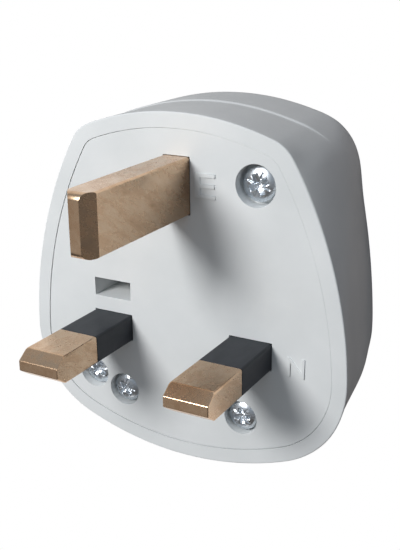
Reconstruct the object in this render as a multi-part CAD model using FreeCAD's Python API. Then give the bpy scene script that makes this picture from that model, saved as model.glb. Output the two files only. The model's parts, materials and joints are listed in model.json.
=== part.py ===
import FreeCAD, Part
import math
import os

# A fused three-pin mains plug for a round cord, in millimetres.
# It lies on its back: +Z runs along the pins, +Y towards the earth pin and +X towards the
# neutral side. The origin is under the middle of the body, in the plane of its flat back.

# Body outline, seen from the pin side, laid out round the pins
body_width = 50.4
body_above_earth = 9.97
body_below_row = 18.55
body_depth = 20.0
top_arc_radius = 40.3
side_arc_radius = 62.0
bottom_arc_radius = 44.0
top_corner_radius = 5.2
bottom_corner_radius = 13.8
widest_above_bottom = 14.6

# Finger grip: the sides, and the rear half of the lower wall, lean in towards the back
grip_taper = 3.13
grip_side_radius = 136.0
grip_widest_above_bottom = 11.9
grip_bottom_corner = 17.0
grip_below_rim = 0.6
grip_bottom_start = 10.0
back_edge_bevel = 0.8
rim_edge_bevel = 0.35

# Moulding step round the upper half of the cover, where its rear part stands proud
parting_height = 10.0
parting_step = 0.2

# Walls, and the base plate let into the rim of the cover
rim_width = 2.1
ledge_width = 0.9
cavity_draft = 0.1
cavity_corner_radius = 8.0
back_wall = 2.4
base_thickness = 3.0
base_recess = 0.1
base_gap = 0.06
base_edge_bevel = 0.1

# Pins: standard sections, spacings and lengths
earth_above_row = 22.23
pin_offset = 11.115
earth_section = (3.975, 7.925)
earth_length = 22.73
earth_bevel_length = 1.83
earth_tip_width = 1.5
earth_tip_radius = 1.0
line_section = (6.35, 3.975)
line_length = 17.7
line_bevel_length = 1.8
line_tip_thickness = 1.42
pin_edge_radius = 0.35
pin_gap = 0.04

# Insulating sleeves on the live and neutral pins
sleeve_length = 8.7
sleeve_embed = 2.0
sleeve_wall = 0.6
sleeve_fit = 0.02

# Terminals inside the body
head_shoulder = 1.05
earth_pillar_width = 8.4
pillar_height = 9.0
pillar_above_pin = 2.4
pillar_wall = 1.2
pillar_wall_height = 4.0
pillar_wall_gap = 0.15
wire_hole_radius = 1.7
wire_hole_depth = 5.0

# Fuse, its clips and the slot in the base over its barrel
fuse_radius = 3.175
fuse_length = 25.4
fuse_cap_length = 6.0
fuse_cap_wall = 0.4
fuse_fit = 0.02
fuse_below_face = 10.0
clip_thickness = 0.6
clip_length = 5.0
clip_fit = 0.05
clip_wrap = 1.9
clip_seat_width = 4.4
strap_thickness = 1.2
strap_margin = 0.6
strap_gap = 0.24
slot_size = (6.1, 2.75)
slot_above_row = 5.58
saddle_wall = 1.2
saddle_fit = 0.1
live_block_size = (5.4, 7.0)
live_block_gap = 0.3
live_block_below_earth = 0.92

# Screws: head radius, head height, shank radius
cover_screw = (2.35, 1.5, 1.45)
clamp_screw = (2.1, 1.4, 1.35)
screw_crown = 0.5
recess_width = 0.8
recess_length = 2.2
recess_depth = 0.9
thread_fit = 0.04
screw_hole_gap = 0.15

# Terminal screws: plain slotted ones that press the wire inside a pillar
terminal_screw_radius = 1.6
terminal_screw_out = 1.6
terminal_slot_width = 0.8
terminal_slot_depth = 0.9

# Cover screws: one beside the earth pin, one below the live pin
upper_screw_from_side = 13.55
upper_screw_above_earth = 1.07
lower_screw_beyond_clamp = 5.4
lower_screw_below_row = 8.4
cover_bore_radii = {"upper": 2.85, "lower": 2.5}
cover_screw_sunk = 0.9
cover_boss_radius = 2.75
insert_half_width = 1.9
insert_length = 6.0
insert_fit = 0.02

# Cord inlet and cord clamp
cord_radius = 3.5
inlet_radius = 4.5
inlet_below_face = 10.0
clamp_screw_from_side = 15.5
clamp_below_row = 10.2
clamp_bore_radius = 2.5
clamp_screw_sunk = 0.4
clamp_bar_half_width = 2.1
clamp_bar_thickness = 2.6
clamp_corner = 1.2
clamp_saddle_thickness = 3.0
clamp_ridge_height = 0.8
clamp_ridge_width = 1.4

# Ribs in the cover that hold the pins and the fuse down, and room round what sits between its walls
rib_thickness = 1.2
rib_length = 6.0
rib_gap = 0.2
bay_gap = 0.1

# Places worked out from the sizes above
body_height = body_below_row + earth_above_row + body_above_earth
pin_row_y = body_below_row - body_height / 2
earth_y = pin_row_y + earth_above_row
face_z = body_depth
base_front_z = body_depth - base_recess
base_back_z = base_front_z - base_thickness
fuse_x = -pin_offset
fuse_axis_height = face_z - fuse_below_face
inlet_height = face_z - inlet_below_face
fuse_low_y = pin_row_y - fuse_cap_length / 2
fuse_high_y = fuse_low_y + fuse_length
cap_spots_y = (pin_row_y, fuse_high_y - fuse_cap_length / 2)
clip_outer_radius = fuse_radius + clip_fit + clip_thickness
clip_seat_z = fuse_axis_height + clip_outer_radius
strap_top_z = clip_seat_z + strap_thickness
slot_y = pin_row_y + slot_above_row
barrel_radius = fuse_radius - fuse_cap_wall - fuse_fit
pillar_back_z = base_back_z - pillar_height
wire_z = base_back_z - wire_hole_depth
earth_head_half = (earth_pillar_width / 2, earth_section[1] / 2 + head_shoulder)
line_head_half = [side / 2 + head_shoulder for side in line_section]
clamp_y = pin_row_y - clamp_below_row
clamp_screw_x = body_width / 2 - clamp_screw_from_side
clamp_bar_top_z = inlet_height - cord_radius
rim_top_y = body_height / 2 - parting_step
cover_screw_spots = {
    "upper": (body_width / 2 - upper_screw_from_side, earth_y + upper_screw_above_earth),
    "lower": (-clamp_screw_x - lower_screw_beyond_clamp, pin_row_y - lower_screw_below_row),
}


def vec(x, y, z=0.0):
    return FreeCAD.Vector(x, y, z)


def block(x_range, y_range, z_range):
    """Box between two values on each axis."""
    spans = [max(r) - min(r) for r in (x_range, y_range, z_range)]
    return Part.makeBox(*spans, vec(min(x_range), min(y_range), min(z_range)))


def bar(centre, section, z_range, edge_radius=0.0, clip=0.0):
    """Upright bar of rectangular section, with its long edges rounded or clipped."""
    (x, y), (width, thickness) = centre, section
    solid = block(
        (x - width / 2, x + width / 2), (y - thickness / 2, y + thickness / 2), z_range
    )
    upright = [e for e in solid.Edges if abs(e.tangentAt(e.FirstParameter).z) > 0.99]
    if edge_radius:
        solid = solid.makeFillet(edge_radius, upright)
    if clip:
        solid = solid.makeChamfer(clip, upright)
    return solid


def rod(x, y, radius, z_range):
    """Upright cylinder between two heights."""
    return Part.makeCylinder(radius, max(z_range) - min(z_range), vec(x, y, min(z_range)))


def rod_along_y(x, z, radius, y_range):
    """Cylinder that lies along Y."""
    return Part.makeCylinder(
        radius, max(y_range) - min(y_range), vec(x, min(y_range), z), vec(0, 1, 0)
    )


def fused(solids):
    """One solid from pieces that overlap."""
    return solids[0].multiFuse(solids[1:]).removeSplitter()


# Body outline


def corner_centre(centre_a, radius_a, centre_b, radius_b, end):
    """Upper or lower crossing of two circles: the centre of a corner arc that touches both."""
    link = centre_b - centre_a
    along = (radius_a**2 - radius_b**2 + link.Length**2) / (2 * link.Length)
    across = math.sqrt(radius_a**2 - along**2)
    unit = link * (1 / link.Length)
    normal = vec(-unit.y, unit.x)
    foot = centre_a + unit * along
    low, high = sorted((foot + normal * across, foot - normal * across), key=lambda point: point.y)
    return high if end == "top" else low


def arc_edge(centre, start, end):
    """Arc about a centre, the short way from start to end."""
    middle = (start - centre) + (end - centre)
    middle = centre + middle * ((start - centre).Length / middle.Length)
    return Part.Arc(start, middle, end).toShape()


def mirrored(point):
    return vec(-point.x, point.y, point.z)


def body_outline(
    z,
    inset=0.0,
    top_y=rim_top_y,
    bottom_y=-body_height / 2,
    side_radius=side_arc_radius,
    widest=widest_above_bottom,
    corners=(top_corner_radius, bottom_corner_radius),
):
    """Closed outline: four crowned sides joined by corner arcs, all moved in by the inset."""
    side = vec(body_width / 2 - side_radius, widest - body_height / 2)
    ends = {
        "bottom": (vec(0, bottom_y + bottom_arc_radius), bottom_arc_radius, corners[1]),
        "top": (vec(0, top_y - top_arc_radius), top_arc_radius, corners[0]),
    }
    on_end, on_side, corner = {}, {}, {}
    for name, (centre, radius, corner_radius) in ends.items():
        rounding = corner_radius - inset
        corner[name] = corner_centre(
            centre, radius - inset - rounding, side, side_radius - inset - rounding, name
        )
        reach = corner[name] - centre
        on_end[name] = centre + reach * ((radius - inset) / reach.Length)
        reach = corner[name] - side
        on_side[name] = side + reach * ((side_radius - inset) / reach.Length)

    low, high = "bottom", "top"
    edges = [
        arc_edge(ends[low][0], mirrored(on_end[low]), on_end[low]),
        arc_edge(corner[low], on_end[low], on_side[low]),
        arc_edge(side, on_side[low], on_side[high]),
        arc_edge(corner[high], on_side[high], on_end[high]),
        arc_edge(ends[high][0], on_end[high], mirrored(on_end[high])),
        arc_edge(mirrored(corner[high]), mirrored(on_end[high]), mirrored(on_side[high])),
        arc_edge(mirrored(side), mirrored(on_side[high]), mirrored(on_side[low])),
        arc_edge(mirrored(corner[low]), mirrored(on_side[low]), mirrored(on_end[low])),
    ]
    wire = Part.Wire(edges)
    wire.translate(vec(0, 0, z))
    return wire


def body_prism(z_low, z_high, inset=0.0, top_y=rim_top_y):
    """Straight-sided block of the body's outline."""
    return Part.Face(body_outline(z_low, inset, top_y)).extrude(vec(0, 0, z_high - z_low))


def grip_form():
    """Drafted block that leans the sides in towards the back; it stays clear of the top wall."""
    slope = grip_taper / (body_depth - grip_below_rim)
    top_y = body_height / 2 + grip_taper + top_corner_radius
    bottom_y = -body_height / 2 - slope * (grip_bottom_start - grip_below_rim)
    outlines = []
    for z in (0, body_depth):
        inset = slope * (body_depth - grip_below_rim - z)
        corners = (top_corner_radius, grip_bottom_corner)
        outlines.append(
            body_outline(z, inset, top_y, bottom_y, grip_side_radius, grip_widest_above_bottom, corners)
        )
    return Part.makeLoft(outlines, True, True)


def cavity_form():
    """Inner space of the cover, narrowing towards the back."""
    outlines = []
    for z in (back_wall, base_back_z):
        inset = rim_width + ledge_width + cavity_draft * (base_back_z - z)
        corners = (cavity_corner_radius, bottom_corner_radius)
        outlines.append(body_outline(z, inset, corners=corners))
    return Part.makeLoft(outlines, True, True)


def edges_at(solid, z):
    """Edges that lie in one horizontal plane."""
    boxes = [(edge, edge.BoundBox) for edge in solid.Edges]
    return [edge for edge, box in boxes if max(abs(box.ZMin - z), abs(box.ZMax - z)) < 1e-4]


# Screws


def crossed_screw(x, y, seat_z, sizes, length):
    """Screw whose head faces +Z and sits on seat_z; the shank runs down from there."""
    head_radius, head_height, shank_radius = sizes
    profile = [
        (0, -length),
        (shank_radius, -length),
        (shank_radius, 0),
        (head_radius, 0),
        (head_radius, head_height - screw_crown),
        (head_radius - screw_crown, head_height),
        (0, head_height),
    ]
    points = [vec(radius, 0, z) for radius, z in profile]
    screw = Part.Face(Part.makePolygon(points + points[:1])).revolve(vec(0, 0), vec(0, 0, 1), 360)
    screw.translate(vec(x, y, seat_z))
    span_z = (seat_z + head_height - recess_depth, seat_z + head_height)
    arms = [(recess_length, recess_width), (recess_width, recess_length)]
    return screw.cut([bar((x, y), arm, span_z) for arm in arms])


# Pins and sleeves


def earth_pin():
    """Earth pin, bevelled on its two broad sides and rounded at the ends of its tip, with its pillar."""
    width, height = earth_section
    tip_z = face_z + earth_length
    bevel_z = tip_z - earth_bevel_length
    spot = (0, earth_y)
    blade = bar(spot, earth_section, (base_back_z, tip_z), pin_edge_radius)
    wedge = tip_wedge(0, spot, width / 2, earth_tip_width / 2, (base_back_z, bevel_z, tip_z))
    slab = block((-width, width), (earth_y - height / 2, earth_y + height / 2), (base_back_z, tip_z))
    tip_edges = [edge for edge in edges_at(slab, tip_z) if edge.BoundBox.YLength < pin_gap]
    pin = blade.common(wedge).common(slab.makeFillet(earth_tip_radius, tip_edges))
    head_y = (earth_y - earth_head_half[1], earth_y + earth_head_half[1])
    head_x = (-earth_head_half[0], earth_head_half[0])
    pillar = block(head_x, head_y, (pillar_back_z, base_back_z))
    return drilled_pillar(fused([pin, pillar]), 0, earth_y, head_y)


def tip_wedge(axis, centre, half, tip_half, levels):
    """Prism across one axis that narrows towards the tip of a pin."""
    reach = 2 * body_depth
    low, bevel, tip = levels
    corners = [(-half, low), (half, low), (half, bevel), (tip_half, tip), (-tip_half, tip), (-half, bevel)]
    if axis == 0:
        points = [vec(centre[0] + across, centre[1] - reach, z) for across, z in corners]
        sweep = vec(0, 2 * reach, 0)
    else:
        points = [vec(centre[0] - reach, centre[1] + across, z) for across, z in corners]
        sweep = vec(2 * reach, 0, 0)
    return Part.Face(Part.makePolygon(points + points[:1])).extrude(sweep)


def drilled_pillar(solid, x, y, y_range):
    """Pillar terminal: a cross hole for the wire, and a threaded hole from the back."""
    wire = rod_along_y(x, wire_z, wire_hole_radius, (min(y_range) - 1, max(y_range) + 1))
    screw = rod(x, y, terminal_screw_radius + thread_fit, (pillar_back_z - 1, wire_z))
    return solid.cut([wire, screw])


def sleeve_range():
    return (base_front_z - sleeve_embed, face_z + sleeve_length)


def neck_section(fit):
    return tuple(side - 2 * (sleeve_wall + fit) for side in line_section)


def line_pin(x):
    """Live or neutral pin, necked where its sleeve sits flush."""
    tip_z = face_z + line_length
    bevel_z = tip_z - line_bevel_length
    root_z, sleeve_end_z = sleeve_range()
    spot = (x, pin_row_y)
    blade = bar(spot, line_section, (sleeve_end_z, tip_z), pin_edge_radius)
    wedge = tip_wedge(1, spot, line_section[1] / 2, line_tip_thickness / 2, (sleeve_end_z, bevel_z, tip_z))
    root = bar(spot, line_section, (base_back_z, root_z))
    neck = bar(spot, neck_section(sleeve_fit), (root_z - 0.5, sleeve_end_z + 0.5))
    return fused([neck, root, blade.common(wedge)])


def pin_sleeve(x):
    spot = (x, pin_row_y)
    z_range = sleeve_range()
    outer = bar(spot, line_section, z_range, pin_edge_radius)
    return outer.cut(bar(spot, neck_section(0), z_range))


def neutral_head_y():
    return (pin_row_y - line_head_half[1], pin_row_y + line_head_half[1] + pillar_above_pin)


def neutral_screw_y():
    return sum(neutral_head_y()) / 2


def neutral_pin():
    x_range = (pin_offset - line_head_half[0], pin_offset + line_head_half[0])
    pillar = block(x_range, neutral_head_y(), (pillar_back_z, base_back_z))
    return drilled_pillar(
        fused([line_pin(pin_offset), pillar]), pin_offset, neutral_screw_y(), neutral_head_y()
    )


def live_pin():
    x_range = (fuse_x - line_head_half[0], fuse_x + line_head_half[0])
    y_range = (pin_row_y - line_head_half[1], pin_row_y + line_head_half[1])
    return fused([line_pin(fuse_x), block(x_range, y_range, (clip_seat_z, base_back_z))])


# Fuse, clips and live terminal


def fuse_clip(y):
    """Sprung clip that wraps past the middle of a fuse cap and opens to the back."""
    y_range = (y - clip_length / 2, y + clip_length / 2)
    ring = rod_along_y(fuse_x, fuse_axis_height, clip_outer_radius, y_range)
    seat = block(
        (fuse_x - clip_seat_width / 2, fuse_x + clip_seat_width / 2),
        y_range,
        (clip_seat_z - clip_thickness, clip_seat_z),
    )
    bore = rod_along_y(fuse_x, fuse_axis_height, fuse_radius + clip_fit, y_range)
    mouth = block(
        (fuse_x - clip_outer_radius, fuse_x + clip_outer_radius),
        y_range,
        (fuse_axis_height - 2 * clip_outer_radius, fuse_axis_height - clip_wrap),
    )
    return fused([ring, seat]).cut([bore, mouth])


def fuse_body():
    return rod_along_y(
        fuse_x, fuse_axis_height, barrel_radius, (fuse_low_y + fuse_cap_wall, fuse_high_y - fuse_cap_wall)
    )


def fuse_cap(end_y, inward):
    """Cap over one end of the fuse; inward is +1 or -1 along Y."""
    shell = rod_along_y(fuse_x, fuse_axis_height, fuse_radius, (end_y, end_y + inward * fuse_cap_length))
    cup = rod_along_y(
        fuse_x,
        fuse_axis_height,
        barrel_radius + fuse_fit,
        (end_y + inward * fuse_cap_wall, end_y + inward * (fuse_cap_length + 1)),
    )
    return shell.cut(cup)


def live_block_ranges():
    """Plan of the live terminal's pillar, on the inner side of the fuse."""
    x_low = fuse_x + max(clip_outer_radius, slot_size[0] / 2 + saddle_wall) + live_block_gap
    y_high = earth_y - earth_head_half[1] - live_block_below_earth
    return (x_low, x_low + live_block_size[0]), (y_high - live_block_size[1], y_high)


def live_screw_spot():
    x_range, y_range = live_block_ranges()
    return sum(x_range) / 2, sum(y_range) / 2


def strap_ranges():
    """Plans of the strap that joins the live pillar to the seat of the upper clip."""
    x_range, y_range = live_block_ranges()
    x_low = fuse_x - clip_seat_width / 2 - strap_margin
    x_beside_earth = -earth_head_half[0] - pillar_wall_gap - pillar_wall - strap_gap
    y_low, y_high = sum(y_range) / 2, cap_spots_y[1] + clip_length / 2
    return [
        ((x_low, x_range[0] + 2 * strap_margin), (y_low, y_range[1])),
        ((x_low, x_beside_earth), (y_low, y_high)),
    ]


def live_terminal():
    x_range, y_range = live_block_ranges()
    straps = [block(*plan, (clip_seat_z, strap_top_z)) for plan in strap_ranges()]
    pillar = block(x_range, y_range, (pillar_back_z, strap_top_z))
    x, y = live_screw_spot()
    return drilled_pillar(fused([pillar] + straps), x, y, y_range)


def terminal_screw_at(x, y):
    """Slotted terminal screw, driven from the back into a pillar."""
    low = pillar_back_z - terminal_screw_out
    screw = rod(x, y, terminal_screw_radius, (low, wire_z - wire_hole_radius / 2))
    slot = bar((x, y), (4 * terminal_screw_radius, terminal_slot_width), (low, low + terminal_slot_depth))
    return screw.cut(slot)


# Base


def pillar_walls(x_range, y_range):
    """Two walls that keep a pillar terminal from turning."""
    z_range = (base_back_z - pillar_wall_height, base_back_z + 1)
    low, high = x_range[0] - pillar_wall_gap, x_range[1] + pillar_wall_gap
    return [
        block((low - pillar_wall, low), y_range, z_range),
        block((high, high + pillar_wall), y_range, z_range),
    ]


def cover_seat_z():
    return face_z - cover_screw_sunk - cover_screw[1]


def clamp_seat_z():
    return face_z - clamp_screw_sunk - clamp_screw[1]


def base_additions():
    """What stands on the inner side of the base plate."""
    inside = base_back_z
    pieces = []
    post = (2 * clamp_bar_half_width, 2 * clamp_bar_half_width)
    for x in (-clamp_screw_x, clamp_screw_x):
        pieces.append(bar((x, clamp_y), post, (clamp_bar_top_z, inside + 1), clip=clamp_corner))

    half = clamp_saddle_thickness / 2
    saddle_x, saddle_y = (-clamp_screw_x, clamp_screw_x), (clamp_y - half, clamp_y + half)
    saddle = block(saddle_x, saddle_y, (inlet_height, inside + 1))
    pieces.append(saddle.cut(rod_along_y(0, inlet_height, cord_radius, saddle_y)))

    head_y = (earth_y - earth_head_half[1], earth_y + earth_head_half[1])
    pieces += pillar_walls((-earth_head_half[0], earth_head_half[0]), head_y)
    head_x = (pin_offset - line_head_half[0], pin_offset + line_head_half[0])
    pieces += pillar_walls(head_x, neutral_head_y())

    for plan in strap_ranges() + [live_block_ranges()]:
        pieces.append(block(*plan, (strap_top_z, inside + 1)))

    half_x = slot_size[0] / 2 + saddle_wall
    saddle_low_y = pin_row_y + max(line_head_half[1], fuse_cap_length / 2) + saddle_fit
    saddle_y = (saddle_low_y, slot_y + slot_size[1] / 2 + saddle_wall)
    saddle_z = (fuse_axis_height + barrel_radius / 2, inside + 1)
    saddle = block((fuse_x - half_x, fuse_x + half_x), saddle_y, saddle_z)
    barrel = rod_along_y(fuse_x, fuse_axis_height, barrel_radius + saddle_fit, saddle_y)
    pieces.append(saddle.cut(barrel))
    return pieces


def base_openings():
    """Pin holes, the slot over the fuse and the sunk screw holes."""
    through = (0, face_z + 1)
    grown = 2 * pin_gap
    holes = [bar((0, earth_y), [s + grown for s in earth_section], (base_back_z - 1, face_z + 1))]
    for side in (-1, 1):
        spot = (side * pin_offset, pin_row_y)
        holes.append(bar(spot, [s + grown for s in line_section], (base_back_z, face_z + 1)))
    holes.append(bar((fuse_x, slot_y), slot_size, through))
    for name, (x, y) in cover_screw_spots.items():
        holes.append(rod(x, y, cover_bore_radii[name], (cover_seat_z(), face_z + 1)))
        holes.append(rod(x, y, cover_screw[2] + screw_hole_gap, through))
    for side in (-1, 1):
        x = side * clamp_screw_x
        holes.append(rod(x, clamp_y, clamp_bore_radius, (clamp_seat_z(), face_z + 1)))
        holes.append(rod(x, clamp_y, clamp_screw[2] + screw_hole_gap, through))
    return holes


def base():
    plate = body_prism(base_back_z, base_front_z, rim_width + base_gap)
    plate = plate.makeChamfer(base_edge_bevel, edges_at(plate, base_front_z))
    return fused([plate] + base_additions()).cut(base_openings())


# Cover


def cover_shell():
    """Hollow moulding whose rear part stands proud of the front part by a fine step."""
    rear = body_prism(0, parting_height, top_y=body_height / 2)
    rear = rear.makeChamfer(back_edge_bevel, edges_at(rear, 0))
    front = body_prism(parting_height, body_depth)
    front = front.makeChamfer(rim_edge_bevel, edges_at(front, body_depth))
    grip = grip_form()
    grip = grip.makeChamfer(back_edge_bevel, edges_at(grip, 0))
    body = rear.fuse(front).removeSplitter().common(grip)
    return body.cut([cavity_form(), body_prism(base_back_z, body_depth, rim_width)] + inner_bays())


def clamp_bar_section():
    return 2 * (clamp_screw_x + clamp_bar_half_width), 2 * clamp_bar_half_width


def inner_bays():
    """Room that the walls leave round the earth pillar, the neutral pillar, the fuse and the clamp."""
    reach = pillar_wall_gap + pillar_wall + bay_gap
    pillar_z = (pillar_back_z - bay_gap, base_back_z)
    earth = (2 * (earth_head_half[0] + reach), 2 * (earth_head_half[1] + bay_gap))
    neutral = (2 * (line_head_half[0] + reach), 2 * (line_head_half[1] + bay_gap))
    clamp = [side + 2 * bay_gap for side in clamp_bar_section()]
    clamp_z = (clamp_bar_top_z - clamp_bar_thickness - bay_gap, base_back_z)
    fuse_y = (fuse_low_y - bay_gap, fuse_high_y + bay_gap)
    strap_plan = [(low - bay_gap, high + bay_gap) for low, high in strap_ranges()[1]]
    return [
        bar((0, earth_y), earth, pillar_z),
        bar((pin_offset, pin_row_y), neutral, pillar_z),
        bar((0, clamp_y), clamp, clamp_z, clip=clamp_corner),
        rod_along_y(fuse_x, fuse_axis_height, clip_outer_radius + bay_gap, fuse_y),
        block(*strap_plan, (clip_seat_z - bay_gap, base_back_z)),
    ]


def hold_down_ribs():
    """Ribs on the back wall that stop the pins and the fuse from being pushed in."""
    half_thickness = rib_thickness / 2
    pillar_edge_x = pin_offset + line_head_half[0] - half_thickness
    pillar_edge_y = earth_y + earth_head_half[1] - half_thickness
    fuse_spot = (fuse_x, (fuse_low_y + fuse_high_y) / 2)
    along_x, along_y = (rib_length, rib_thickness), (rib_thickness, rib_length)
    places = [
        ((pillar_edge_x, neutral_screw_y()), along_y, pillar_back_z),
        ((0, pillar_edge_y), along_x, pillar_back_z),
        (fuse_spot, along_x, fuse_axis_height - fuse_radius),
    ]
    return [bar(spot, section, (back_wall / 2, held - rib_gap)) for spot, section, held in places]


def cord_inlet():
    """Round way through the lower wall."""
    return rod_along_y(0, inlet_height, inlet_radius, (-body_height / 2 - 1, clamp_y))


def hexagon(x, y, half_width, z_range):
    """Upright hexagonal bar, half_width from its middle to each flat."""
    reach = half_width / math.cos(math.pi / 6)
    corners = [k * math.pi / 3 for k in range(7)]
    points = [vec(x + reach * math.cos(a), y + reach * math.sin(a), min(z_range)) for a in corners]
    return Part.Face(Part.makePolygon(points)).extrude(vec(0, 0, max(z_range) - min(z_range)))


def insert_range():
    return (base_back_z - insert_length, base_back_z)


def cover():
    bosses, bores = [], []
    for spot in cover_screw_spots.values():
        x, y = spot
        bosses.append(rod(x, y, cover_boss_radius, (back_wall - 1, base_back_z)))
        bores.append(hexagon(x, y, insert_half_width + insert_fit, insert_range()))
    return fused([cover_shell()] + bosses + hold_down_ribs()).cut(bores + [cord_inlet()])


def threaded_insert(spot):
    """Brass insert that the cover screw goes into."""
    x, y = spot
    body = hexagon(x, y, insert_half_width, insert_range())
    return body.cut(rod(x, y, cover_screw[2] + thread_fit, insert_range()))


def cover_screw_at(spot):
    x, y = spot
    return crossed_screw(x, y, cover_seat_z(), cover_screw, cover_seat_z() - min(insert_range()))


# Cord clamp


def cord_clamp_bar():
    """Bar across the cord, with a ridge that bites into the sheath."""
    z_range = (clamp_bar_top_z - clamp_bar_thickness, clamp_bar_top_z)
    body = bar((0, clamp_y), clamp_bar_section(), z_range, clip=clamp_corner)
    ridge_z = (min(z_range), clamp_bar_top_z + clamp_ridge_height)
    ridge = bar((0, clamp_y), (2 * cord_radius, clamp_ridge_width), ridge_z)
    hole_radius = clamp_screw[2] + thread_fit
    holes = [rod(x, clamp_y, hole_radius, z_range) for x in (-clamp_screw_x, clamp_screw_x)]
    return fused([body, ridge]).cut(holes)


def clamp_screw_at(x):
    length = clamp_seat_z() - clamp_bar_top_z + clamp_bar_thickness
    return crossed_screw(x, clamp_y, clamp_seat_z(), clamp_screw, length)


def all_parts():
    parts = {
        "base": base(),
        "cover": cover(),
        "earth_pin": earth_pin(),
        "neutral_pin": neutral_pin(),
        "live_pin": live_pin(),
        "neutral_pin_sleeve": pin_sleeve(pin_offset),
        "live_pin_sleeve": pin_sleeve(-pin_offset),
        "live_pin_fuse_clip": fuse_clip(cap_spots_y[0]),
        "live_terminal_fuse_clip": fuse_clip(cap_spots_y[1]),
        "live_terminal": live_terminal(),
        "fuse_body": fuse_body(),
        "fuse_cap_pin_end": fuse_cap(fuse_low_y, 1),
        "fuse_cap_terminal_end": fuse_cap(fuse_high_y, -1),
        "earth_terminal_screw": terminal_screw_at(0, earth_y),
        "neutral_terminal_screw": terminal_screw_at(pin_offset, neutral_screw_y()),
        "live_terminal_screw": terminal_screw_at(*live_screw_spot()),
        "cord_clamp_bar": cord_clamp_bar(),
        "cord_clamp_screw_left": clamp_screw_at(-clamp_screw_x),
        "cord_clamp_screw_right": clamp_screw_at(clamp_screw_x),
    }
    for name, spot in cover_screw_spots.items():
        parts["cover_screw_" + name] = cover_screw_at(spot)
        parts["cover_insert_" + name] = threaded_insert(spot)
    return parts


os.makedirs("parts", exist_ok=True)
for node, shape in all_parts().items():
    shape.exportStep("parts/" + node + ".step")
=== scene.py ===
"""A fused three-pin mains plug that lies on its back, pins up, before a plain white backdrop."""

import json
import math

import bmesh
import bpy
import numpy as np
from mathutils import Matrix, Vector


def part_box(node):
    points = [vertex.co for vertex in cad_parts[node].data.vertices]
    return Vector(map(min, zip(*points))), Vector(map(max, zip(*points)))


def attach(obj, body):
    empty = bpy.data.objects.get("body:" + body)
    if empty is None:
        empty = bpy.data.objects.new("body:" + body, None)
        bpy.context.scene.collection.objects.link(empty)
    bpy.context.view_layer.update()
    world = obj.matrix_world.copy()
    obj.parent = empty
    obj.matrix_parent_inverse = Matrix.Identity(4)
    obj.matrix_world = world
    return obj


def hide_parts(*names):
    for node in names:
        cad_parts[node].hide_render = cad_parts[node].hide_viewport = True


# Sizes below are in millimetres and the scene is in metres
MM = 0.001

# Camera: place, turn in degrees and lens, at the photograph's viewing angle
CAMERA_AT = (59.93, 43.56, 121.37)
CAMERA_TURN = (-19.455, 28.914, -0.619)
LENS = 59.03
SENSOR = 36.0
CAMERA_NEAR = 5.0

# Lamps: direction, distance and size of each, and its power in watts
LAMPS = {
    "key": ((-0.30, 0.505, 1.0), 260.0, 84.0, 0.503),
    "fill": ((-0.45, -0.35, 0.82), 300.0, 170.0, 0.025),
    "low": ((-0.2, -1.0, 0.42), 320.0, 150.0, 0.06),
}

# Sky: dim and warm away from one direction, brighter and cooler towards it
SKY_COLOURS = ((1.0, 0.92, 0.87), (0.76, 0.87, 1.0))
SKY_TOWARDS = (0.15, 0.9, 0.35)
SKY_DIM = 0.085
SKY_BRIGHT = 0.5
SKY_BRIGHT_RANGE = (-0.2, 1.0)
SKY_COLOUR_RANGE = (-0.2, 0.6)

# Floor: distance from the middle and height of each bend, and the colour it lends the light
FLOOR_PROFILE = ((0.0, 0.0), (1000.0, 0.0), (1250.0, 7.0), (1400.0, 36.0), (1500.0, 134.0))
FLOOR_SIDES = 96
FLOOR_WELD = 0.01
FLOOR_COLOUR = (0.3, 0.26, 0.24, 1.0)

# Rounding of the solids' sharp edges, by slot, with angles in degrees
EDGE_SOFTNESS = {"body_plastic": 0.06, "pin_brass": 0.14, "sleeve_plastic": 0.12}
OTHER_SOFTNESS = 0.08
EDGE_SEGMENTS = 3
SHARP_ANGLE = 32.0
FLAT_ANGLE = 0.5
WELD = 0.001

# Finish: range that noise mostly fills, depth of fine grain, tones and roughness of plainer materials
NOISE_RANGE = (0.3, 0.7)
GRAIN_DEPTH = 0.02
FLECK_DEPTH = 0.03
METALS = {
    "clip_bronze": ((0.52, 0.30, 0.16), (0.68, 0.45, 0.26), 0.35),
    "fuse_cap_plate": ((0.55, 0.53, 0.5), (0.72, 0.7, 0.67), 0.28),
    "terminal_screw_brass": ((0.5, 0.36, 0.16), (0.7, 0.54, 0.28), 0.3),
    "screw_zinc": ((0.58, 0.62, 0.66), (0.84, 0.88, 0.92), 0.27),
    "insert_brass": ((0.5, 0.36, 0.16), (0.7, 0.54, 0.28), 0.3),
}
MATT_SOLIDS = {
    "fuse_ceramic": ((0.68, 0.65, 0.58), (0.78, 0.75, 0.68), 0.22),
    "clamp_fibre": ((0.30, 0.28, 0.25), (0.42, 0.40, 0.36), 0.65),
}

# Cover: the source's outline of its walls, with upper and lower corners
BODY_WIDTH = 50.4
BODY_HEIGHT = 50.73
BODY_DEPTH = 20.0
TOP_ARC = 40.3
BOTTOM_ARC = 44.0
SIDE_ARC = 62.0
CORNERS = (5.2, 13.8)
WIDEST = 14.6

# Cover: the second outline, the grip that leans in and cuts the walls
GRIP_TAPER = 3.13
GRIP_ARC = 136.0
GRIP_CORNERS = (5.2, 17.0)
GRIP_WIDEST = 11.9
GRIP_BELOW_RIM = 0.6
GRIP_BOTTOM_START = 10.0

# Cover: the step in its top wall, its rounded edges and crease, and its upper corners at the back
STEP_HEIGHT = 10.0
STEP = 0.2
STEP_RAMP = 0.6
BACK_ROUNDING = 1.1
RIM_ROUNDING = 0.2
CREASE_AT_BACK = 3.4
CREASE_AT_RIM = 0.15
BACK_CORNER = 8.8

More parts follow.
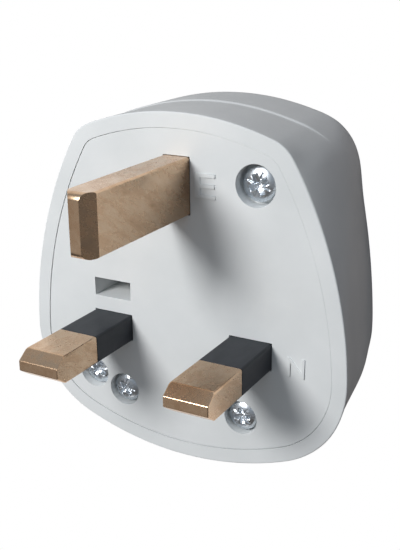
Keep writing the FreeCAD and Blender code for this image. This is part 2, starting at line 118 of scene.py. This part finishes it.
# Swellings of the cover past those outlines: bearings and spreads in radians, heights from the back
CORNER_AT = 0.784
CORNER_SWELL = 0.95
CORNER_SPREAD = 0.163
SHOULDER = 1.17
SHOULDER_RANGE = (0.0, 12.0)
SHOULDER_SPREADS = (0.48, 0.13)
HEEL = 0.29
HEEL_AT = -0.465
HEEL_SPREAD = 0.11
HEEL_HEIGHTS = (-1.2, 8.0, 16.8, 20.0)
HEEL_SHARES = (-1.0, 1.0, -0.45, 0.0)

# Cover: fineness of its skin, and the room inside it
COVER_SIDES = 512
ROUNDING_ROWS = 7
WALL_ROWS = 15
ARC_POINTS = 240
COVER_EDGE = 0.03
RIM_CLOSING = 0.06
CORE_INSET = 0.6
CORE_TOP = 19.0
CORE_OVERRUN = 1.0
SAME_HEIGHT = 0.01
INLET_RADIUS = 4.55
INLET_HEIGHT = 10.0
INLET_SPAN = (-26.5, -21.0)
INLET_SIDES = 128

# Screws: height of the head, radius of the shank, and turn of the cross in degrees
SCREWS = {
    "cover_screw_upper": (1.5, 1.45, 25.0),
    "cover_screw_lower": (1.5, 1.45, 60.0),
    "cord_clamp_screw_left": (1.4, 1.35, 40.0),
    "cord_clamp_screw_right": (1.4, 1.35, 10.0),
}
SCREW_CROWN = 0.5
SCREW_SIDES = 96
SCREW_RINGS = 30
SCREW_SHARP_ANGLE = 50.0

# Recess of a screw, as shares of the radius of its head
CROSS_REACH = 0.62
CROSS_HALF_WIDTH = 0.15
CROSS_DEPTH = 0.40
TICK_SPAN = (0.3, 0.72)
TICK_HALF_WIDTH = 0.035
TICK_DEPTH = 0.06
RECESS_SOFTNESS = 0.05

# Raised letters: text, pin, middle of the letter from the middle of its pin, size and sideways stretch
LETTERS = {
    "letter_earth": ("E", "earth_pin", (4.15, 0.1), 4.8, 1.6),
    "letter_live": ("L", "live_pin_sleeve", (-6.6, -2.6), 4.0, 1.2),
    "letter_neutral": ("N", "neutral_pin_sleeve", (6.8, -0.9), 4.0, 0.95),
}
LETTER_RELIEF = 0.14
LETTER_SOFTNESS = 0.05

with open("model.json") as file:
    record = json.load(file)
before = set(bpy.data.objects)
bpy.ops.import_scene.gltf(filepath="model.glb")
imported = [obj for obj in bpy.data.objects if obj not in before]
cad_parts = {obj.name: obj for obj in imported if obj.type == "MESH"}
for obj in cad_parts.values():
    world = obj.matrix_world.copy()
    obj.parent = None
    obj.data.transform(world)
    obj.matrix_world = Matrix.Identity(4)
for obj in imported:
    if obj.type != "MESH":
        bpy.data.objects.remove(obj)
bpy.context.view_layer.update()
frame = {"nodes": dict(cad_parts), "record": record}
nodes = frame["nodes"]


# Node helpers


def new_material(name):
    """Node material with a Principled shader; returns the material, its tree and the shader."""
    material = bpy.data.materials.new(name)
    material.use_nodes = True
    tree = material.node_tree
    return material, tree, tree.nodes["Principled BSDF"]


def add_node(tree, kind, **inputs):
    """Node of one kind with its sockets set by name; a socket given as an output is linked."""
    node = tree.nodes.new(kind)
    for name, value in inputs.items():
        socket = node.inputs[name.replace("_", " ")]
        if isinstance(value, bpy.types.NodeSocket):
            tree.links.new(value, socket)
        else:
            socket.default_value = value
    return node


def noise(tree, scale, detail=4.0, stretch=(1, 1, 1), roughness=0.55, turn=(0, 0, 0)):
    """Noise over object space, turned and then stretched along the axes; returns its value."""
    place = tree.nodes.new("ShaderNodeTexCoord").outputs["Object"]
    turned = add_node(tree, "ShaderNodeMapping", Vector=place, Rotation=turn)
    mapping = add_node(tree, "ShaderNodeMapping", Vector=turned.outputs["Vector"], Scale=stretch)
    texture = add_node(
        tree,
        "ShaderNodeTexNoise",
        Vector=mapping.outputs["Vector"],
        Scale=scale,
        Detail=detail,
        Roughness=roughness,
    )
    return texture.outputs["Fac"]


def ramp(tree, value, stops):
    """Colour ramp over a value; stops are (place, colour) pairs."""
    node = add_node(tree, "ShaderNodeValToRGB", Fac=value)
    elements = node.color_ramp.elements
    while len(elements) < len(stops):
        elements.new(0.5)
    for element, (place, colour) in zip(elements, stops):
        element.position = place
        element.color = (*colour, 1.0)
    return node.outputs["Color"]


def remap(tree, value, low, high, source=NOISE_RANGE):
    """Value spread from its source range to another."""
    node = add_node(tree, "ShaderNodeMapRange", Value=value)
    node.inputs["From Min"].default_value = source[0]
    node.inputs["From Max"].default_value = source[1]
    node.inputs["To Min"].default_value = low
    node.inputs["To Max"].default_value = high
    return node.outputs["Result"]


def bump(tree, height, depth, strength):
    """Normal roughened by a height, over a depth in millimetres."""
    node = add_node(tree, "ShaderNodeBump", Height=height, Distance=depth * MM, Strength=strength)
    return node.outputs["Normal"]


# Materials


def body_plastic():
    """Off-white moulded plastic, faintly mottled, with a fine moulded grain."""
    material, tree, shader = new_material("body_plastic")
    mottle = noise(tree, 90.0, 5.0)
    colour = ramp(tree, mottle, [(0.3, (0.66, 0.68, 0.68)), (0.7, (0.73, 0.745, 0.745))])
    grain = noise(tree, 2600.0, 3.0)
    tree.links.new(colour, shader.inputs["Base Color"])
    tree.links.new(remap(tree, mottle, 0.55, 0.68), shader.inputs["Roughness"])
    tree.links.new(bump(tree, grain, GRAIN_DEPTH, 0.5), shader.inputs["Normal"])
    shader.inputs["Specular IOR Level"].default_value = 0.0
    return material


def pin_brass():
    """Drawn brass, tarnished in brown and pink streaks that run along the pins."""
    material, tree, shader = new_material("pin_brass")
    streaks = noise(tree, 620.0, 8.0, (1.0, 1.0, 0.35), 0.72, (0.5, 0.0, 0.0))
    stops = [
        (0.3, (0.44, 0.285, 0.175)),
        (0.44, (0.56, 0.375, 0.24)),
        (0.56, (0.595, 0.42, 0.28)),
        (0.7, (0.65, 0.475, 0.335)),
    ]
    tree.links.new(ramp(tree, streaks, stops), shader.inputs["Base Color"])
    tree.links.new(remap(tree, streaks, 0.34, 0.2), shader.inputs["Roughness"])
    scratches = noise(tree, 1400.0, 4.0, (1.0, 1.0, 0.06))
    tree.links.new(bump(tree, scratches, GRAIN_DEPTH, 0.2), shader.inputs["Normal"])
    shader.inputs["Metallic"].default_value = 1.0
    return material


def sleeve_plastic():
    """Black satin insulation, rubbed grey in places."""
    material, tree, shader = new_material("sleeve_plastic")
    rub = noise(tree, 300.0, 5.0, (1.0, 1.0, 0.4))
    stops = [(0.35, (0.021, 0.024, 0.03)), (0.75, (0.062, 0.066, 0.073))]
    tree.links.new(ramp(tree, rub, stops), shader.inputs["Base Color"])
    tree.links.new(remap(tree, rub, 0.38, 0.52), shader.inputs["Roughness"])
    grain = noise(tree, 3000.0, 3.0)
    tree.links.new(bump(tree, grain, GRAIN_DEPTH, 0.5), shader.inputs["Normal"])
    shader.inputs["Specular IOR Level"].default_value = 0.19
    return material


def plated_metal(name, dark, light, roughness):
    """Plated metal with uneven tone and fine pits."""
    material, tree, shader = new_material(name)
    tone = noise(tree, 500.0, 5.0)
    tree.links.new(ramp(tree, tone, [(0.3, dark), (0.7, light)]), shader.inputs["Base Color"])
    worn = remap(tree, tone, roughness + 0.08, roughness - 0.05)
    tree.links.new(worn, shader.inputs["Roughness"])
    pits = noise(tree, 4000.0, 2.0)
    tree.links.new(bump(tree, pits, GRAIN_DEPTH, 0.4), shader.inputs["Normal"])
    shader.inputs["Metallic"].default_value = 1.0
    return material


def matt_solid(name, dark, light, roughness):
    """Matt or glazed non-metal with a fine fleck."""
    material, tree, shader = new_material(name)
    fleck = noise(tree, 400.0, 6.0, roughness=0.7)
    tree.links.new(ramp(tree, fleck, [(0.35, dark), (0.65, light)]), shader.inputs["Base Color"])
    tree.links.new(remap(tree, fleck, roughness, roughness + 0.1), shader.inputs["Roughness"])
    tree.links.new(bump(tree, fleck, FLECK_DEPTH, 0.4), shader.inputs["Normal"])
    return material


def make_materials():
    """Material of each slot in the record."""
    made = {
        "body_plastic": body_plastic(),
        "pin_brass": pin_brass(),
        "sleeve_plastic": sleeve_plastic(),
    }
    for name, finish in METALS.items():
        made[name] = plated_metal(name, *finish)
    for name, finish in MATT_SOLIDS.items():
        made[name] = matt_solid(name, *finish)
    return made


def dress_nodes(materials):
    """Give each solid its slot's material, and soften its edges."""
    slots = {part["node"]: part["material_slot"] for part in frame["record"]["subparts"]}
    for name, node in nodes.items():
        node.data.materials.clear()
        node.data.materials.append(materials[slots[name]])
        soften(node, EDGE_SOFTNESS.get(slots[name], OTHER_SOFTNESS))


def soften(node, width):
    """Join the facets, merge flat ones and round the sharp edges."""
    weld = node.modifiers.new("weld", "WELD")
    weld.merge_threshold = WELD * MM
    flat = node.modifiers.new("flat", "DECIMATE")
    flat.decimate_type = "DISSOLVE"
    flat.angle_limit = math.radians(FLAT_ANGLE)
    round_edges(node, width)
    for polygon in node.data.polygons:
        polygon.use_smooth = True
    weigh_normals(node)


def round_edges(item, width):
    """Narrow rounding on each edge that is sharp enough."""
    edge = item.modifiers.new("edge", "BEVEL")
    edge.width = width * MM
    edge.segments = EDGE_SEGMENTS
    edge.limit_method = "ANGLE"
    edge.angle_limit = math.radians(SHARP_ANGLE)


def weigh_normals(item):
    """Let the large flat faces set the shading."""
    smooth = item.modifiers.new("normals", "WEIGHTED_NORMAL")
    smooth.keep_sharp = True


# Pieces made here


def link_up(item):
    """Put an object into the scene."""
    bpy.context.scene.collection.objects.link(item)
    return item


def add_piece(name, mesh, material):
    """Object of a mesh that rides on the body, with its material."""
    mesh.materials.clear()
    mesh.materials.append(material)
    piece = link_up(bpy.data.objects.new(name, mesh))
    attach(piece, "root")
    return piece


# Cover


def bearing(centre, point):
    """Direction from a centre to a point."""
    return math.atan2(point[1] - centre[1], point[0] - centre[0])


def corner_centre(centre_a, radius_a, centre_b, radius_b, end):
    """Upper or lower crossing of two circles, for an end of 1 or -1."""
    link = centre_b - centre_a
    length = np.hypot(*link)
    along = (radius_a**2 - radius_b**2 + length**2) / (2 * length)
    across = math.sqrt(radius_a**2 - along**2)
    foot = centre_a + link * (along / length)
    aside = np.array((-link[1], link[0])) * (across / length)
    return max(foot + aside, foot - aside, key=lambda point: end * point[1])


def fold(angles):
    """Bearings with the left half of the body folded onto the right."""
    return np.arctan2(np.sin(angles), np.abs(np.cos(angles)))


def outline_reach(angles, inset, top_y, bottom_y, side_arc, widest, corners):
    """Distance from the middle of the body to an outline of crowned sides and corner arcs."""
    side = np.array((BODY_WIDTH / 2 - side_arc, widest - BODY_HEIGHT / 2))
    bottom = np.array((0.0, bottom_y + BOTTOM_ARC))
    top = np.array((0.0, top_y - TOP_ARC))
    high = corner_centre(top, TOP_ARC - corners[0], side, side_arc - corners[0], 1)
    low = corner_centre(bottom, BOTTOM_ARC - corners[1], side, side_arc - corners[1], -1)
    turns = [-math.pi / 2, bearing(bottom, low), bearing(side, low)]
    turns += [bearing(side, high), bearing(top, high), math.pi / 2]
    centres = [bottom, low, side, high, top]
    radii = [BOTTOM_ARC, corners[1], side_arc, corners[0], TOP_ARC]
    points = []
    for k, (centre, radius) in enumerate(zip(centres, radii)):
        sweep = np.linspace(turns[k], turns[k + 1], ARC_POINTS)
        points.append(centre + (radius - inset) * np.column_stack((np.cos(sweep), np.sin(sweep))))
    x, y = np.vstack(points).T
    return np.interp(fold(angles), np.arctan2(y, x), np.hypot(x, y))


def soft_min(first, second, blend):
    """Lesser of two distances, rounded where they come within a blend of each other."""
    near = np.maximum(blend - np.abs(first - second), 0) / blend
    return np.minimum(first, second) - near * near * blend / 4


def eased(z, heights, values):
    """Value at one height on a curve that runs level through each of the heights given."""
    k = min(max(int(np.searchsorted(heights, z)), 1), len(heights) - 1)
    along = (z - heights[k - 1]) / (heights[k] - heights[k - 1])
    return values[k - 1] + (values[k] - values[k - 1]) * (0.5 - 0.5 * math.cos(math.pi * along))


def bulge(angles, middle, spread):
    """Share of a swelling at each bearing: one at its middle and fading to both sides."""
    return np.exp(-(((angles - middle) / spread) ** 2))


def swelling(angles, z):
    """How far the cover's skin stands out past its outlines at one height."""
    folded = fold(angles)
    corner = CORNER_SWELL * (1 - z / BODY_DEPTH) * bulge(folded, CORNER_AT, CORNER_SPREAD)
    spread = np.where(folded < CORNER_AT, *SHOULDER_SPREADS)
    low, peak = SHOULDER_RANGE
    share = max(0.0, 1 - ((z - peak) / (peak - low if z < peak else BODY_DEPTH - peak)) ** 2)
    shoulder = SHOULDER * share * bulge(folded, CORNER_AT, spread)
    heel = HEEL * eased(z, HEEL_HEIGHTS, HEEL_SHARES) * bulge(folded, HEEL_AT, HEEL_SPREAD)
    return corner + shoulder + heel


def cover_reach(angles, z, inset, step):
    """Distance from the middle to the cover's skin at one height; step is the share of the step."""
    half = BODY_HEIGHT / 2
    depth = 1 - z / BODY_DEPTH
    corners = (CORNERS[0] + (BACK_CORNER - CORNERS[0]) * depth, CORNERS[1])
    walls = outline_reach(angles, inset, half - STEP * (1 - step), -half, SIDE_ARC, WIDEST, corners)
    slope = GRIP_TAPER / (BODY_DEPTH - GRIP_BELOW_RIM)
    lean = slope * (BODY_DEPTH - GRIP_BELOW_RIM - z) + inset
    top_y = half + GRIP_TAPER + GRIP_CORNERS[0]
    bottom_y = -half - slope * (GRIP_BOTTOM_START - GRIP_BELOW_RIM)
    grip = outline_reach(angles, lean, top_y, bottom_y, GRIP_ARC, GRIP_WIDEST, GRIP_CORNERS)
    skin = soft_min(walls, grip, CREASE_AT_RIM + (CREASE_AT_BACK - CREASE_AT_RIM) * depth)
    return skin + swelling(angles, z)


def cover_rows():
    """Height, inset and share of the step of each ring of the cover's skin, from the back up."""
    turns = np.linspace(0, math.pi / 2, ROUNDING_ROWS)
    rows = []
    for t in turns:
        rows.append((BACK_ROUNDING * (1 - math.cos(t)), BACK_ROUNDING * (1 - math.sin(t)), 1.0))
    step_low = STEP_HEIGHT - STEP_RAMP
    rows += [(z, 0.0, 1.0) for z in np.linspace(BACK_ROUNDING, step_low, WALL_ROWS)[1:-1]]
    rows += [(step_low + STEP_RAMP * t / turns[-1], 0.0, math.cos(t) ** 2) for t in turns]
    rim_low = BODY_DEPTH - RIM_ROUNDING
    rows += [(z, 0.0, 0.0) for z in np.linspace(STEP_HEIGHT, rim_low, WALL_ROWS)[1:-1]]
    for t in turns:
        rows.append((rim_low + RIM_ROUNDING * math.sin(t), RIM_ROUNDING * (1 - math.cos(t)), 0.0))
    return rows


def ringed_solid(name, rings):
    """Object closed by flat ends from rings of points, in millimetres."""
    count = len(rings[0])
    points = np.vstack(rings) * MM
    faces = [tuple(range(count - 1, -1, -1))]
    for row in range(len(rings) - 1):
        here, there = row * count, (row + 1) * count
        for k in range(count):
            after = (k + 1) % count
            faces.append((here + k, here + after, there + after, there + k))
    faces.append(tuple(range(len(points) - count, len(points))))
    mesh = bpy.data.meshes.new(name)
    mesh.from_pydata(points.tolist(), [], faces)
    return link_up(bpy.data.objects.new(name, mesh))


def combine(piece, other, operation):
    """Join another object to a piece, or cut it out, and delete it."""
    change = piece.modifiers.new(operation, "BOOLEAN")
    change.operation = operation
    change.object = other
    bpy.context.view_layer.update()
    graph = bpy.context.evaluated_depsgraph_get()
    mesh = bpy.data.meshes.new_from_object(piece.evaluated_get(graph))
    piece.modifiers.clear()
    piece.data = mesh
    bpy.data.objects.remove(other)


def cover_ring(angles, z, inset, step):
    """Points of the cover's skin at one height."""
    reach = cover_reach(angles, z, inset, step)
    return np.column_stack((reach * np.cos(angles), reach * np.sin(angles), np.full(len(angles), z)))


def way_in():
    """Round way in for the cord through the lower wall."""
    around = np.linspace(0, 2 * math.pi, INLET_SIDES, endpoint=False)
    x, z = INLET_RADIUS * np.sin(around), INLET_HEIGHT + INLET_RADIUS * np.cos(around)
    rings = [np.column_stack((x, np.full(INLET_SIDES, y), z)) for y in INLET_SPAN]
    return ringed_solid("way_in", rings)


def cover_solid():
    """Copy of the cover's solid with its facets joined."""
    mesh = nodes["cover"].data.copy()
    shape = bmesh.new()
    shape.from_mesh(mesh)
    bmesh.ops.remove_doubles(shape, verts=shape.verts, dist=WELD * MM)
    shape.to_mesh(mesh)
    shape.free()
    return link_up(bpy.data.objects.new("solid", mesh))


def inner_space(angles):
    """The room inside the cover's solid with the way in for the cord, carried up past the rim."""
    rings = []
    for z in np.linspace(CORE_INSET, CORE_TOP, WALL_ROWS):
        inset = CORE_INSET + BACK_ROUNDING * (z < BACK_ROUNDING)
        rings.append(cover_ring(angles, z, inset, 0.0))
    room = ringed_solid("room", rings)
    combine(room, way_in(), "UNION")
    combine(room, cover_solid(), "DIFFERENCE")
    for vertex in room.data.vertices:
        if vertex.co.z > (CORE_TOP - SAME_HEIGHT) * MM:
            middle = Vector((0, 0, vertex.co.z))
            vertex.co += (middle - vertex.co).normalized() * RIM_CLOSING * MM
            vertex.co.z = (BODY_DEPTH + CORE_OVERRUN) * MM
    return room


def add_cover(material):
    """The cover with a smooth skin round the inner form of its solid."""
    angles = np.linspace(0, 2 * math.pi, COVER_SIDES, endpoint=False)
    block = ringed_solid("block", [cover_ring(angles, *row) for row in cover_rows()])
    combine(block, inner_space(angles), "DIFFERENCE")
    mesh = block.data
    bpy.data.objects.remove(block)
    mesh.polygons.foreach_set("use_smooth", [True] * len(mesh.polygons))
    mesh.set_sharp_from_angle(angle=math.radians(SHARP_ANGLE))
    piece = add_piece("cover_moulded", mesh, material)
    round_edges(piece, COVER_EDGE)
    weigh_normals(piece)
    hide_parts("cover")


# Screws and letters


def fade(value, edge, softness):
    """One well below the edge, nought well above it, and smooth in between."""
    share = min(max((edge + softness - value) / (2 * softness), 0.0), 1.0)
    return share * share * (3 - 2 * share)


def recess(x, y):
    """Depth of a screw's cross recess at a point of a head of radius one."""
    along, across = max(abs(x), abs(y)), min(abs(x), abs(y))
    arm = fade(across, CROSS_HALF_WIDTH, RECESS_SOFTNESS) * max(0.0, 1 - along / CROSS_REACH) ** 0.5
    turned = abs(x + y) * math.sqrt(0.5), abs(x - y) * math.sqrt(0.5)
    along, across = max(turned), min(turned)
    middle = sum(TICK_SPAN) / 2
    tick = fade(across, TICK_HALF_WIDTH, RECESS_SOFTNESS / 2)
    tick *= fade(abs(along - middle), TICK_SPAN[1] - middle, RECESS_SOFTNESS)
    return max(CROSS_DEPTH * arm, TICK_DEPTH * tick)


def head_rings(angles, radius, top, turn):
    """Distance from the axis and height of each point on the rings of a domed head."""
    rings = []
    for step in range(1, SCREW_RINGS + 1):
        share = step / SCREW_RINGS
        ring = []
        for angle in angles:
            place = angle - math.radians(turn)
            depth = recess(share * math.cos(place), share * math.sin(place)) * radius
            ring.append((share * radius, top - SCREW_CROWN * MM * share**3 - depth))
        rings.append(ring)
    return rings


def screw_mesh(name):
    """Domed screw with a cross recess, on the axis and between the heights of its solid."""
    low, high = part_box(name)
    head_height, shank_radius, turn = SCREWS[name]
    centre, radius = (low + high) / 2, (high.x - low.x) / 2
    seat = high.z - head_height * MM
    shank = shank_radius * MM
    angles = [2 * math.pi * k / SCREW_SIDES for k in range(SCREW_SIDES)]
    rings = head_rings(angles, radius, high.z, turn)
    for ring_radius, z in ((radius, seat), (shank, seat), (shank, low.z)):
        rings.append([(ring_radius, z)] * SCREW_SIDES)

    points = [(centre.x, centre.y, high.z - recess(0, 0) * radius)]
    for ring in rings:
        for angle, (r, z) in zip(angles, ring):
            points.append((centre.x + r * math.cos(angle), centre.y + r * math.sin(angle), z))
    points.append((centre.x, centre.y, low.z))

    faces = []
    last = len(rings) - 1
    for k in range(SCREW_SIDES):
        after = (k + 1) % SCREW_SIDES
        faces.append((0, 1 + k, 1 + after))
        for row in range(last):
            here, there = 1 + row * SCREW_SIDES, 1 + (row + 1) * SCREW_SIDES
            faces.append((here + k, there + k, there + after, here + after))
        end = 1 + last * SCREW_SIDES
        faces.append((len(points) - 1, end + after, end + k))
    mesh = bpy.data.meshes.new(name + "_form")
    mesh.from_pydata(points, [], faces)
    mesh.polygons.foreach_set("use_smooth", [True] * len(faces))
    mesh.set_sharp_from_angle(angle=math.radians(SCREW_SHARP_ANGLE))
    return mesh


def add_screws(material):
    """The screws that show, each in the place of its solid."""
    for name in SCREWS:
        piece = add_piece(name + "_detailed", screw_mesh(name), material)
        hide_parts(name)


def add_letters(material):
    """Low raised letters on the base that tell the pins apart."""
    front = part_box("base")[1].z
    for name, (text, pin, offset, size, stretch) in LETTERS.items():
        low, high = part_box(pin)
        curve = bpy.data.curves.new(name, "FONT")
        curve.body = text
        curve.align_x = "CENTER"
        curve.align_y = "CENTER"
        curve.size = size * MM
        curve.extrude = LETTER_RELIEF * MM
        curve.bevel_depth = LETTER_SOFTNESS * MM
        curve.bevel_resolution = 1
        letter = bpy.data.objects.new(name, curve)
        letter.location = (
            (low.x + high.x) / 2 + offset[0] * MM,
            (low.y + high.y) / 2 + offset[1] * MM,
            front,
        )
        letter.scale.x = stretch
        link_up(letter)
        bpy.context.view_layer.update()
        depsgraph = bpy.context.evaluated_depsgraph_get()
        mesh = bpy.data.meshes.new_from_object(letter.evaluated_get(depsgraph))
        mesh.transform(letter.matrix_world)
        bpy.data.objects.remove(letter)
        add_piece(name, mesh, material)


# Stage


def floor_material():
    """Plain white to the camera and in reflections, and a warm matt surface to all other light."""
    material = bpy.data.materials.new("floor")
    material.use_nodes = True
    tree = material.node_tree
    tree.nodes.clear()
    path = tree.nodes.new("ShaderNodeLightPath")
    seen = path.outputs["Is Camera Ray"]
    for ray in ("Is Glossy Ray", "Is Transmission Ray"):
        either = tree.nodes.new("ShaderNodeMath")
        either.operation = "MAXIMUM"
        tree.links.new(seen, either.inputs[0])
        tree.links.new(path.outputs[ray], either.inputs[1])
        seen = either.outputs["Value"]
    white = add_node(tree, "ShaderNodeEmission", Color=(1, 1, 1, 1))
    matt = add_node(tree, "ShaderNodeBsdfDiffuse", Color=FLOOR_COLOUR)
    mix = tree.nodes.new("ShaderNodeMixShader")
    tree.links.new(seen, mix.inputs["Fac"])
    tree.links.new(matt.outputs["BSDF"], mix.inputs[1])
    tree.links.new(white.outputs["Emission"], mix.inputs[2])
    out = tree.nodes.new("ShaderNodeOutputMaterial")
    tree.links.new(mix.outputs["Shader"], out.inputs["Surface"])
    return material


def add_floor():
    """Round white floor that turns up at its edge."""
    sheet = bmesh.new()
    profile = [sheet.verts.new((reach * MM, 0.0, z * MM)) for reach, z in FLOOR_PROFILE]
    edges = [sheet.edges.new(pair) for pair in zip(profile, profile[1:])]
    bmesh.ops.spin(
        sheet,
        geom=profile + edges,
        axis=(0, 0, 1),
        cent=(0, 0, 0),
        steps=FLOOR_SIDES,
        angle=2 * math.pi,
        use_merge=True,
    )
    bmesh.ops.remove_doubles(sheet, verts=sheet.verts, dist=FLOOR_WELD * MM)
    mesh = bpy.data.meshes.new("floor")
    sheet.to_mesh(mesh)
    sheet.free()
    mesh.materials.append(floor_material())
    floor = link_up(bpy.data.objects.new("floor", mesh))


def add_sky():
    """Sky graded by how nearly each direction faces its bright side."""
    world = bpy.data.worlds.new("sky")
    bpy.context.scene.world = world
    world.use_nodes = True
    tree = world.node_tree
    background = tree.nodes["Background"]
    facing = tree.nodes.new("ShaderNodeVectorMath")
    facing.operation = "DOT_PRODUCT"
    facing.inputs[1].default_value = Vector(SKY_TOWARDS).normalized()
    tree.links.new(tree.nodes.new("ShaderNodeTexCoord").outputs["Generated"], facing.inputs[0])
    strength = remap(tree, facing.outputs["Value"], SKY_DIM, SKY_BRIGHT, SKY_BRIGHT_RANGE)
    tree.links.new(strength, background.inputs["Strength"])
    share = remap(tree, facing.outputs["Value"], 0.0, 1.0, SKY_COLOUR_RANGE)
    colour = ramp(tree, share, list(zip((0.0, 1.0), SKY_COLOURS)))
    tree.links.new(colour, background.inputs["Color"])


def add_lamps():
    """Round soft lamps that face the body."""
    for name, (towards, distance, size, power) in LAMPS.items():
        data = bpy.data.lights.new(name, "AREA")
        data.shape = "DISK"
        data.size = size * MM
        data.energy = power
        lamp = link_up(bpy.data.objects.new(name, data))
        direction = Vector(towards).normalized()
        lamp.location = direction * distance * MM
        lamp.rotation_euler = direction.to_track_quat("Z", "Y").to_euler()


def add_camera():
    """The photograph's camera."""
    data = bpy.data.cameras.new("camera")
    data.lens = LENS
    data.sensor_width = SENSOR
    data.clip_start = CAMERA_NEAR * MM
    camera = link_up(bpy.data.objects.new("camera", data))
    camera.location = [place * MM for place in CAMERA_AT]
    camera.rotation_euler = [math.radians(angle) for angle in CAMERA_TURN]
    bpy.context.scene.camera = camera


materials = make_materials()
add_cover(materials["body_plastic"])
dress_nodes(materials)
add_screws(materials["screw_zinc"])
add_letters(materials["body_plastic"])
add_floor()
add_sky()
add_lamps()
add_camera()
bpy.context.scene.view_settings.view_transform = "Standard"
